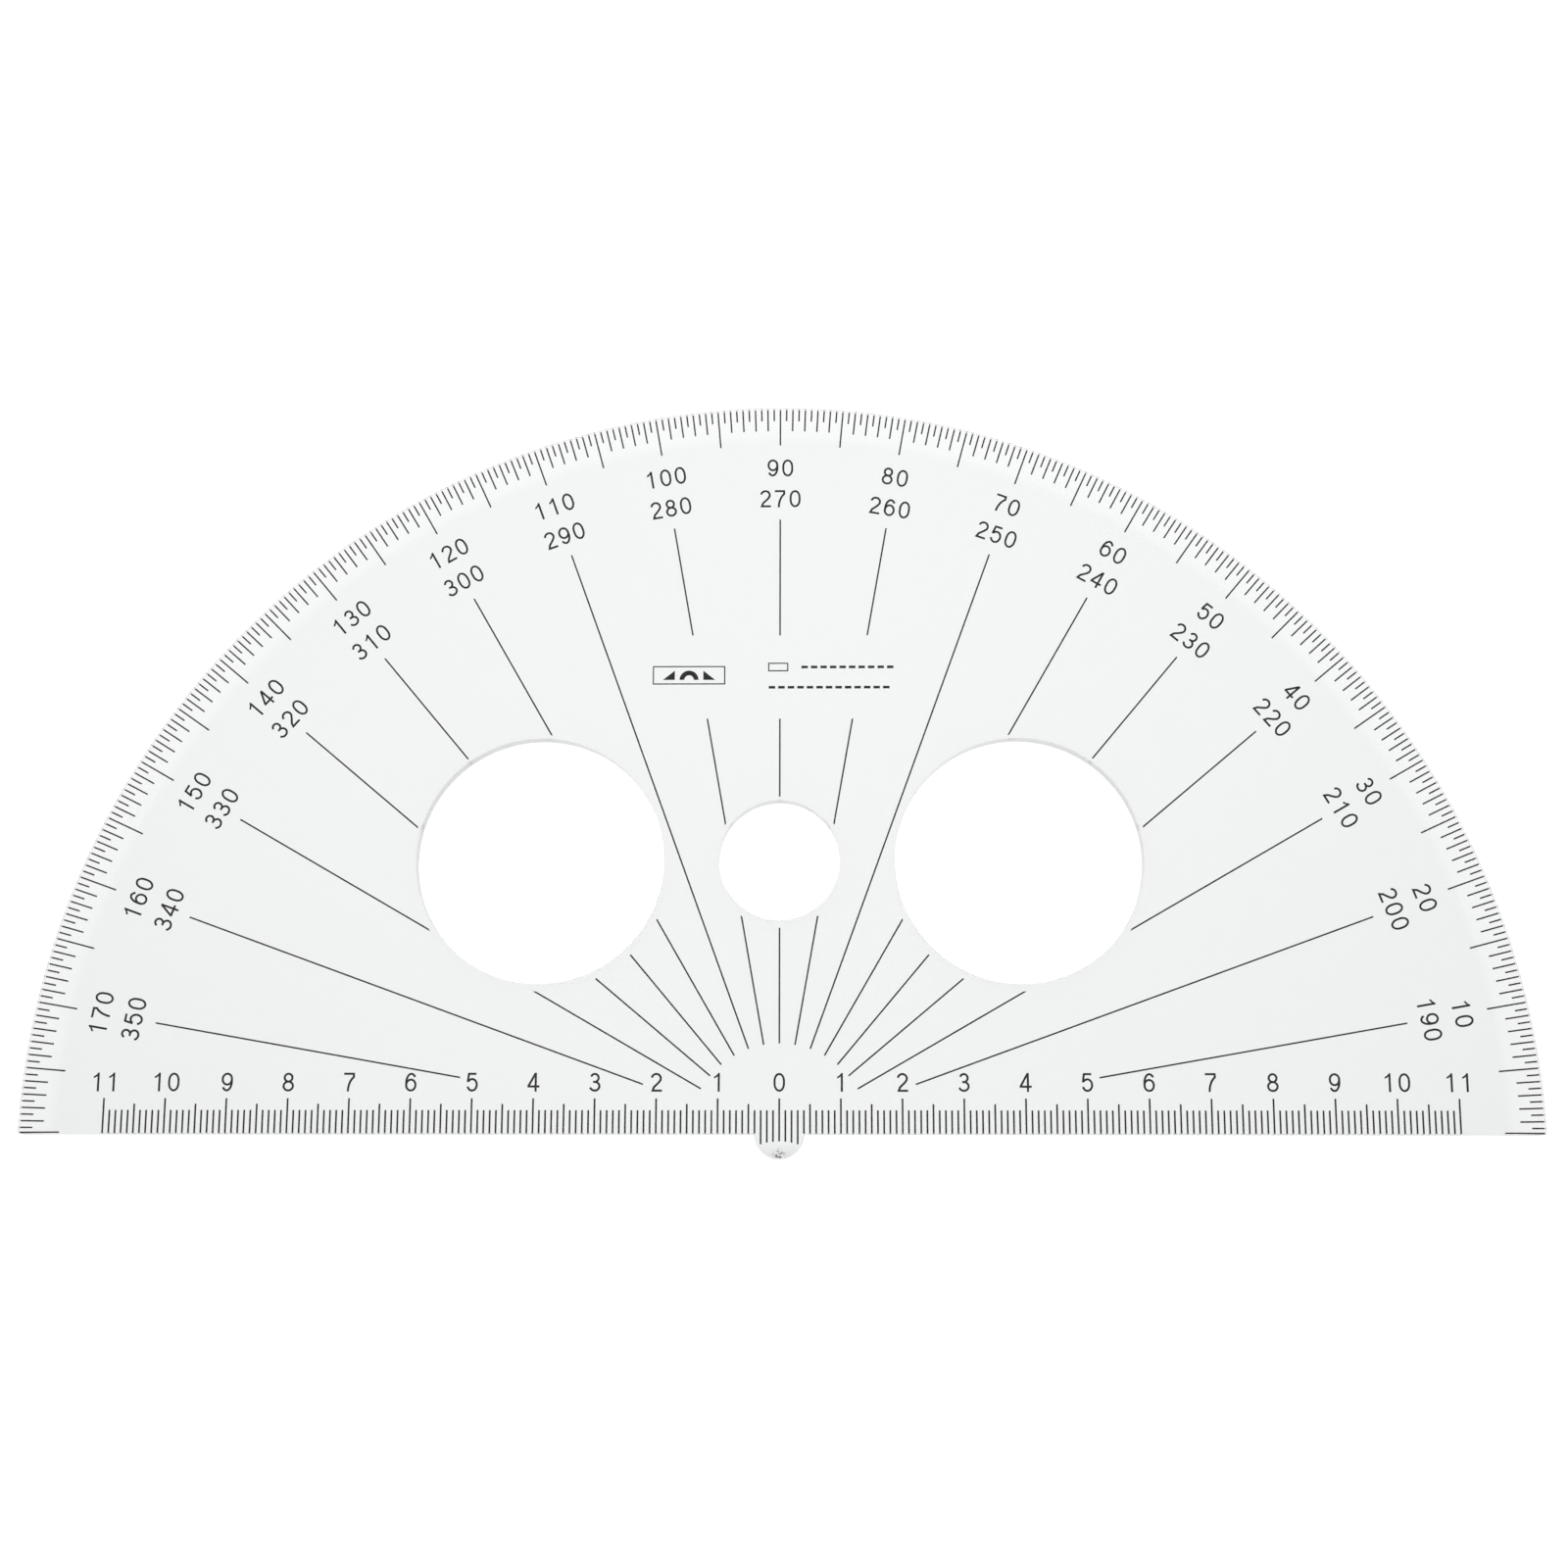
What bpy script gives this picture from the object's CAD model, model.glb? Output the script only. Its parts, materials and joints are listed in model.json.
"""Looks for the clear drafting protractor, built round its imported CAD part."""

import json
import math

import bpy
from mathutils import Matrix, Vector
from mathutils.geometry import delaunay_2d_cdt


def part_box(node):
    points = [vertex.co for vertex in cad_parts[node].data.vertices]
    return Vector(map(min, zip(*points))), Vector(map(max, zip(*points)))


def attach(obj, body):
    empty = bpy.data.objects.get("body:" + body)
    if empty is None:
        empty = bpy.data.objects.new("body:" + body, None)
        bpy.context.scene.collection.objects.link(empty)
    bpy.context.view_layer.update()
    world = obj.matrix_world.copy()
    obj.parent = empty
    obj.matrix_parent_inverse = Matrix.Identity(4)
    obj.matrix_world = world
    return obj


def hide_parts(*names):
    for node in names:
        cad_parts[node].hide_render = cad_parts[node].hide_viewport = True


MM = 0.001
UP = Vector((0, 0, 1))

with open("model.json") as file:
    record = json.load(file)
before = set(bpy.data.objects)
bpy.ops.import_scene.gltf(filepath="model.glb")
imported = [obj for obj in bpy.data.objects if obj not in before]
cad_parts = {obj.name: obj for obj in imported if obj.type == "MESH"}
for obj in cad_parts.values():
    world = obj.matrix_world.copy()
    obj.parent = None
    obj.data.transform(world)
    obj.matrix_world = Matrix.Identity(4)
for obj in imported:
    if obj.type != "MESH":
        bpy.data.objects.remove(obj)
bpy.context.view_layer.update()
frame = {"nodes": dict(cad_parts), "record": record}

# ---- Sizes of the plate, measured on its CAD node ----

plate_node = frame["nodes"]["plate"]
plate_low, plate_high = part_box("plate")
plate_points = [v.co.copy() for v in plate_node.data.vertices]
rim_points = [p for p in plate_points if p.xy.length > plate_high.x - 0.001 * MM]

thick = plate_high.z
rim_r = min(plate_high.x, plate_high.y)
tab_r = -plate_low.y
flat_r = max(p.xy.length for p in plate_points if p.z > thick - 0.001 * MM)
edge = min(p.z for p in rim_points)
rim_t = max(p.z for p in rim_points) + edge
slope = (thick - rim_t) / (plate_high.x - flat_r)

holes = []
for opening in frame["record"]["physics"]["openings"]:
    a, b = opening["box_m"]
    centre = Vector(((a[0] + b[0]) / 2, (a[1] + b[1]) / 2))
    holes.append((centre, min((p.xy - centre).length for p in plate_points)))

# ---- The plate: rounded edges, a bevel that runs softly into the flat, and true round holes ----

ARC_STEPS = 600
CORNER_STEPS = 6
FILLET_STEPS = 6
TAB_STEPS = 48
HOLE_STEPS = 144
ROUND_STEPS = 5
CORNER_R = 0.45 * MM
FILLET_R = 0.4 * MM
BLEND = 0.45 * MM
BEVEL_RINGS = [flat_r + BLEND * k for k in (1, 0.5, 0, -0.5, -1)]
# The kind of triangles that mathutils is asked for: those between the outline and the holes
INSIDE_WITH_HOLES = 2


def upper_face(r):
    """Height of the plate's upper face at radius r, and how steeply it falls there."""
    over = r - (flat_r - BLEND)
    if over <= 0:
        return thick, 0.0
    if over < 2 * BLEND:
        return thick - slope * over * over / (4 * BLEND), slope * over / (2 * BLEND)
    return thick - slope * (r - flat_r), slope


def turned(a):
    return Vector((math.cos(a), math.sin(a)))


def outline(d):
    """The plate's outline moved inwards by d, anticlockwise, as points with their outward directions."""
    corner_a = math.asin(CORNER_R / (rim_r - CORNER_R))
    corner = Vector((math.sqrt((rim_r - CORNER_R) ** 2 - CORNER_R**2), CORNER_R))
    fillet = Vector((math.sqrt((tab_r + FILLET_R) ** 2 - FILLET_R**2), -FILLET_R))
    fillet_a = math.atan2(FILLET_R, fillet.x)
    mirror = Vector((-1, 1))
    made = []
    for i in range(ARC_STEPS + 1):
        n = turned(corner_a + (math.pi - 2 * corner_a) * i / ARC_STEPS)
        made.append((n * (rim_r - d), n))
    left = []
    for i in range(CORNER_STEPS):
        n = turned(-math.pi / 2 + (corner_a + math.pi / 2) * i / CORNER_STEPS)
        left.append((corner + n * (CORNER_R - d), n))
    for r in BEVEL_RINGS:
        left.insert(0, (Vector((math.sqrt(r * r - d * d), d)), Vector((0, -1))))
    for i in range(FILLET_STEPS + 1):
        n = turned(math.pi / 2 + (math.pi / 2 - fillet_a) * i / FILLET_STEPS)
        left.insert(0, (fillet + n * (FILLET_R + d), -n))
    right = left
    left = [(p * mirror, n * mirror) for p, n in reversed(left)]
    made += left
    for i in range(1, TAB_STEPS):
        n = turned(math.pi + fillet_a + (math.pi - 2 * fillet_a) * i / TAB_STEPS)
        made.append((n * (tab_r - d), n))
    return made + right


def ring(centre, r):
    """A hole's rim at radius r, with its directions out of the plastic, which are towards its axis."""
    around = [turned(2 * math.pi * i / HOLE_STEPS) for i in range(HOLE_STEPS)]
    return [(centre + n * r, -n) for n in around]


verts, normals, faces, face_slots = [], [], [], []
CLEAR, EDGE = 0, 1


def add(p, z, normal):
    verts.append((p.x, p.y, z))
    normals.append(normal.normalized())
    return len(verts) - 1


def face(corners, slot):
    faces.append(corners)
    face_slots.append(slot)


def wall(make):
    """Rings of points up a rounded edge, bottom to top, from make(d), the outline moved inwards by d."""
    rings = []
    for k in range(ROUND_STEPS + 1):
        t = math.pi / 2 * k / ROUND_STEPS
        low_z = edge * (1 - math.cos(t))
        rings.append([
            add(p, low_z, n.to_3d() * math.sin(t) - UP * math.cos(t))
            for p, n in make(edge * (1 - math.sin(t)))
        ])
    for k in range(ROUND_STEPS + 1):
        t = math.pi / 2 * k / ROUND_STEPS
        upper = []
        for p, n in make(edge * (1 - math.cos(t))):
            z, fall = upper_face(p.length)
            up = UP + (p.normalized() * fall).to_3d()
            up = n.to_3d() * math.cos(t) + up.normalized() * math.sin(t)
            upper.append(add(p, z - edge * (1 - math.sin(t)), up))
        rings.append(upper)
    return rings


def strip(lower, upper, slot, flip=False, closed=True):
    count = len(lower)
    for i in range(count if closed else count - 1):
        j = (i + 1) % count
        quad = (lower[i], lower[j], upper[j], upper[i])
        face(quad[::-1] if flip else quad, slot)


def cap(loops, facing_up, slot):
    """Flat triangles between an outline and the rims of the holes in it."""
    flat, numbered = [], []
    for loop in loops:
        numbered.append(list(range(len(flat), len(flat) + len(loop))))
        flat += loop
    points = [Vector(verts[i]).xy for i in flat]
    made = delaunay_2d_cdt(points, [], numbered, INSIDE_WITH_HOLES, 1e-6 * MM)
    _, _, triangles, sources, _, _ = made
    for tri in triangles:
        corners = tuple(flat[sources[k][0]] for k in tri)
        face(corners if facing_up else corners[::-1], slot)


rim = wall(outline)
for lower, upper in zip(rim, rim[1:]):
    strip(lower, upper, EDGE)
hole_rings = []
for centre, r in holes:
    rings = wall(lambda d, centre=centre, r=r: ring(centre, r + d))
    for lower, upper in zip(rings, rings[1:]):
        strip(lower, upper, EDGE, flip=True)
    hole_rings.append(rings)
cap([rim[0]] + [r[0] for r in hole_rings], False, CLEAR)

# The upper face: the bevel's strips, then the flat inside them
top = rim[-1]
arc = top[: ARC_STEPS + 1]
after = ARC_STEPS + 1 + CORNER_STEPS
kinks_left = top[after : after + len(BEVEL_RINGS)]
kinks_right = top[-CORNER_STEPS - len(BEVEL_RINGS) : -CORNER_STEPS][::-1]
face((kinks_left[0], arc[-1], *top[ARC_STEPS + 1 : after]), CLEAR)
face((arc[0], kinks_right[0], *top[-CORNER_STEPS:]), CLEAR)
outer = arc
for r, right_end, left_end in zip(BEVEL_RINGS, kinks_right, kinks_left):
    first = math.asin(edge / r)
    z, fall = upper_face(r)
    inner = [right_end]
    for i in range(1, ARC_STEPS):
        n = turned(first + (math.pi - 2 * first) * i / ARC_STEPS)
        inner.append(add(n * r, z, UP + (n * fall).to_3d()))
    inner.append(left_end)
    strip(outer, inner, CLEAR, closed=False)
    outer = inner
flat_outline = outer + top[after + len(BEVEL_RINGS) : -CORNER_STEPS - len(BEVEL_RINGS)]
cap([flat_outline] + [r[-1] for r in hole_rings], True, CLEAR)

plate_mesh = bpy.data.meshes.new("clear_plate")
plate_mesh.from_pydata(verts, [], faces)
plate_mesh.polygons.foreach_set("material_index", face_slots)
plate_mesh.shade_smooth()
plate_mesh.normals_split_custom_set_from_vertices(normals)
plate_mesh.validate()
plate = bpy.data.objects.new("clear_plate", plate_mesh)
bpy.context.scene.collection.objects.link(plate)
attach(plate, "root")
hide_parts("plate")


# ---- Materials ----

PLASTIC_IOR = 1.49
INK_IOR = 1.45
# How much light comes straight through the faces and through the satin edges
FACE_CLEARNESS = (0.962, 0.963, 0.964)
EDGE_CLEARNESS = (0.93, 0.931, 0.932)


class Nodes:
    """A small helper that builds one material's nodes."""

    def __init__(self, name):
        self.material = bpy.data.materials.new(name)
        self.material.use_nodes = True
        self.tree = self.material.node_tree
        self.tree.nodes.clear()
        self.output = self.add("ShaderNodeOutputMaterial")
        self.coords = self.add("ShaderNodeTexCoord").outputs["Object"]

    def add(self, kind, **settings):
        node = self.tree.nodes.new(kind)
        for key, value in settings.items():
            setattr(node, key, value)
        return node

    def link(self, source, target):
        self.tree.links.new(source, target)

    def noise(self, scale, detail=2.0, stretch=(1, 1, 1), turn=0.0):
        mapping = self.add("ShaderNodeMapping")
        mapping.inputs["Scale"].default_value = stretch
        mapping.inputs["Rotation"].default_value = (0, 0, turn)
        self.link(self.coords, mapping.inputs["Vector"])
        noise = self.add("ShaderNodeTexNoise")
        noise.inputs["Scale"].default_value = scale
        noise.inputs["Detail"].default_value = detail
        self.link(mapping.outputs["Vector"], noise.inputs["Vector"])
        return noise.outputs["Fac"]

    def ranged(self, value, from_min, from_max, to_min, to_max):
        node = self.add("ShaderNodeMapRange")
        for key, number in (
            ("From Min", from_min),
            ("From Max", from_max),
            ("To Min", to_min),
            ("To Max", to_max),
        ):
            node.inputs[key].default_value = number
        self.link(value, node.inputs["Value"])
        return node.outputs["Result"]

    def maths(self, operation, a, b):
        node = self.add("ShaderNodeMath", operation=operation)
        for socket, value in zip(node.inputs, (a, b)):
            if isinstance(value, (int, float)):
                socket.default_value = value
            else:
                self.link(value, socket)
        return node.outputs[0]

    def mixed(self, value, first, second):
        node = self.add("ShaderNodeMix", data_type="RGBA")
        self.link(value, node.inputs["Factor"])
        for socket, colour in zip(node.inputs[6:8], (first, second)):
            if isinstance(colour, tuple):
                socket.default_value = (*colour, 1)
            else:
                self.link(colour, socket)
        return node.outputs[2]

    def bump(self, height, distance, strength=1.0):
        node = self.add("ShaderNodeBump")
        node.inputs["Distance"].default_value = distance
        node.inputs["Strength"].default_value = strength
        self.link(height, node.inputs["Height"])
        return node.outputs["Normal"]

    def let_light_through(self, shader, tint, bounced):
        """Lamp light, and light bounced in the way named, goes straight through to the floor."""
        clear = self.add("ShaderNodeBsdfTransparent")
        clear.inputs["Color"].default_value = (*tint, 1)
        path = self.add("ShaderNodeLightPath")
        for kind in (bounced, "Is Shadow Ray"):
            mix = self.add("ShaderNodeMixShader")
            self.link(path.outputs[kind], mix.inputs[0])
            self.link(shader, mix.inputs[1])
            self.link(clear.outputs[0], mix.inputs[2])
            shader = mix.outputs[0]
        self.link(shader, self.output.inputs["Surface"])


def scratches(m):
    """Hairline scratches in three directions, as a value from 0 to 1."""
    total = None
    for turn, scale in ((0.3, 520), (1.25, 610), (2.3, 450)):
        lines = m.noise(scale, 1.0, (1, 0.02, 1), turn)
        lines = m.ranged(lines, 0.72, 0.8, 0, 1)
        total = lines if total is None else m.maths("MAXIMUM", total, lines)
    return total


def gate_mark(m):
    """The trimmed moulding gate on the index tab: how satin it is, and its torn specks, both 0 to 1."""
    place = m.add("ShaderNodeSeparateXYZ")
    m.link(m.coords, place.inputs[0])
    satin = m.ranged(place.outputs["Y"], -0.35 * tab_r, -tab_r, 0, 1)
    apart = m.add("ShaderNodeVectorMath", operation="DISTANCE")
    m.link(m.coords, apart.inputs[0])
    apart.inputs[1].default_value = (0, -0.86 * tab_r, thick)
    near = m.ranged(apart.outputs["Value"], 0.12 * tab_r, 0.34 * tab_r, 1, 0)
    torn = m.ranged(m.noise(2400, 2.0), 0.5, 0.54, 0, 1)
    return satin, m.maths("MULTIPLY", near, torn)


def clear_plastic():
    m = Nodes("clear_plastic")
    shader = m.add("ShaderNodeBsdfPrincipled")
    shader.inputs["IOR"].default_value = PLASTIC_IOR
    shader.inputs["Transmission Weight"].default_value = 1.0
    satin, torn = gate_mark(m)
    tint = m.mixed(m.noise(9, 2.0), (0.897, 0.902, 0.904), (0.913, 0.917, 0.919))
    # The plate thins out over the bevel, so it is clearer there
    out = m.add("ShaderNodeVectorMath", operation="LENGTH")
    m.link(m.coords, out.inputs[0])
    thin = m.ranged(out.outputs["Value"], flat_r, rim_r, 0.2, 0.5)
    outside = m.maths("GREATER_THAN", out.outputs["Value"], flat_r)
    tint = m.mixed(m.maths("MULTIPLY", thin, outside), tint, (1.0, 1.0, 1.0))
    tint = m.mixed(satin, tint, (0.76, 0.76, 0.76))
    tint = m.mixed(torn, tint, (0.03, 0.03, 0.03))
    m.link(tint, shader.inputs["Base Color"])
    worn = scratches(m)
    haze = m.ranged(m.noise(60, 4.0), 0.35, 0.75, 0.012, 0.035)
    rough = m.maths("ADD", haze, m.maths("MULTIPLY", worn, 0.07))
    rough = m.maths("ADD", rough, m.maths("MULTIPLY", satin, 0.3))
    m.link(rough, shader.inputs["Roughness"])
    relief = m.maths("ADD", worn, m.maths("MULTIPLY", torn, 20))
    m.link(m.bump(relief, 0.002 * MM, 0.5), shader.inputs["Normal"])
    # Light caught inside the plate leaves it at once, not after dozens of bounces
    m.let_light_through(shader.outputs[0], FACE_CLEARNESS, "Is Reflection Ray")
    return m.material


def clear_edge():
    """The moulded edges: a little less polished than the faces."""
    m = Nodes("clear_plastic_edge")
    shader = m.add("ShaderNodeBsdfPrincipled")
    shader.inputs["IOR"].default_value = PLASTIC_IOR
    shader.inputs["Transmission Weight"].default_value = 0.9
    m.link(
        m.mixed(m.noise(400, 3.0), (0.82, 0.825, 0.83), (0.89, 0.893, 0.897)),
        shader.inputs["Base Color"],
    )
    grain = m.noise(2600, 3.0)
    m.link(m.ranged(grain, 0.3, 0.7, 0.33, 0.45), shader.inputs["Roughness"])
    m.link(m.bump(grain, 0.004 * MM, 0.4), shader.inputs["Normal"])
    m.let_light_through(shader.outputs[0], EDGE_CLEARNESS, "Is Reflection Ray")
    return m.material


def black_ink():
    m = Nodes("black_ink")
    shader = m.add("ShaderNodeBsdfPrincipled")
    shader.inputs["IOR"].default_value = INK_IOR
    m.link(
        m.mixed(m.noise(900, 4.0), (0.006, 0.006, 0.007), (0.03, 0.03, 0.032)),
        shader.inputs["Base Color"],
    )
    grain = m.noise(9000, 3.0)
    m.link(m.ranged(grain, 0.3, 0.7, 0.4, 0.65), shader.inputs["Roughness"])
    m.link(m.bump(grain, 0.003 * MM, 0.5), shader.inputs["Normal"])
    # The print throws no shadow of its own on the floor under the plate
    m.let_light_through(shader.outputs[0], (1, 1, 1), "Is Diffuse Ray")
    return m.material


plate_mesh.materials.append(clear_plastic())
plate_mesh.materials.append(clear_edge())

ink = black_ink()
for name, node in frame["nodes"].items():
    if name != "plate":
        node.data.materials.clear()
        node.data.materials.append(ink)


# ---- Floor, light and camera ----


def pale_floor():
    m = Nodes("pale_floor")
    shader = m.add("ShaderNodeBsdfPrincipled")
    shader.inputs["Roughness"].default_value = 0.7
    m.link(
        m.mixed(m.noise(3, 2.0), (0.86, 0.86, 0.86), (0.88, 0.88, 0.88)),
        shader.inputs["Base Color"],
    )
    m.link(shader.outputs[0], m.output.inputs["Surface"])
    return m.material


FLOOR_GAP = 0.1 * MM
FLOOR_R = 4.0
floor_mesh = bpy.data.meshes.new("floor")
around = [turned(2 * math.pi * i / 96) * FLOOR_R for i in range(96)]
floor_mesh.from_pydata([(p.x, p.y, 0) for p in around], [], [tuple(range(96))])
floor = bpy.data.objects.new("floor", floor_mesh)
floor.location.z = -FLOOR_GAP
bpy.context.scene.collection.objects.link(floor)
floor_mesh.materials.append(pale_floor())


def softbox(name, place, size, power, target=Vector((0, 0.06, 0))):
    """A soft lamp above the plate. Its own mirror image would wash out the print under the plastic."""
    light = bpy.data.lights.new(name, "AREA")
    light.shape = "RECTANGLE"
    light.size, light.size_y = size
    light.energy = power
    lamp = bpy.data.objects.new(name, light)
    lamp.location = place
    lamp.rotation_mode = "QUATERNION"
    lamp.rotation_quaternion = (target - Vector(place)).to_track_quat("-Z", "Y")
    lamp.visible_glossy = False
    lamp.visible_transmission = False
    bpy.context.scene.collection.objects.link(lamp)


softbox("key", (0, 0.12, 0.4), (0.3, 0.24), 0.95)

# How bright the studio is in what the plastic mirrors, from the horizon (0) up to overhead (1)
MIRRORED_STUDIO = ((0.0, 0.5), (0.6, 0.7), (0.76, 0.4), (0.93, 0.12))
STUDIO_LIGHT = 0.85
BACKDROP = 0.7


def studio_world():
    """An even light on the floor, and a darker ceiling in what the plastic mirrors."""
    world = bpy.data.worlds.new("studio")
    world.use_nodes = True
    tree = world.node_tree
    mirrored = tree.nodes["Background"]
    path = tree.nodes.new("ShaderNodeLightPath")

    def grey_background(grey):
        node = tree.nodes.new("ShaderNodeBackground")
        node.inputs["Color"].default_value = (grey, grey, grey, 1)
        return node.outputs[0]

    def mixed(factor, first, second):
        node = tree.nodes.new("ShaderNodeMixShader")
        for socket, source in zip(node.inputs, (factor, first, second)):
            tree.links.new(source, socket)
        return node.outputs[0]

    coords = tree.nodes.new("ShaderNodeTexCoord")
    height = tree.nodes.new("ShaderNodeSeparateXYZ")
    tent = tree.nodes.new("ShaderNodeValToRGB")
    tree.links.new(coords.outputs["Generated"], height.inputs[0])
    tree.links.new(height.outputs["Z"], tent.inputs["Fac"])
    tree.links.new(tent.outputs["Color"], mirrored.inputs["Color"])
    stops = tent.color_ramp.elements
    for place, _ in MIRRORED_STUDIO[2:]:
        stops.new(place)
    for stop, (place, grey) in zip(stops, MIRRORED_STUDIO):
        stop.position = place
        stop.color = (grey, grey, grey, 1)

    through = tree.nodes.new("ShaderNodeMath")
    through.operation = "MAXIMUM"
    tree.links.new(path.outputs["Is Glossy Ray"], through.inputs[0])
    tree.links.new(path.outputs["Is Transmission Ray"], through.inputs[1])
    shown = mixed(through.outputs[0], grey_background(STUDIO_LIGHT), mirrored.outputs[0])
    # The backdrop is as pale as the floor's far side, so that no horizon shows
    shown = mixed(path.outputs["Is Camera Ray"], shown, grey_background(BACKDROP))
    tree.links.new(shown, tree.nodes["World Output"].inputs["Surface"])
    return world


def photo_camera():
    """Almost straight above the plate, a little nearer to its straight edge."""
    data = bpy.data.cameras.new("camera")
    data.lens = 53.32
    data.sensor_width = 36
    data.clip_start = 0.01
    made = bpy.data.objects.new("camera", data)
    made.location = (5.6 * MM, -17.35 * MM, 380.7 * MM)
    made.rotation_mode = "ZXY"
    made.rotation_euler = tuple(math.radians(a) for a in (11.2, 0.739, 0.081))
    return made


scene = bpy.context.scene
scene.world = studio_world()
scene.view_settings.view_transform = "Standard"
scene.camera = photo_camera()
scene.collection.objects.link(scene.camera)
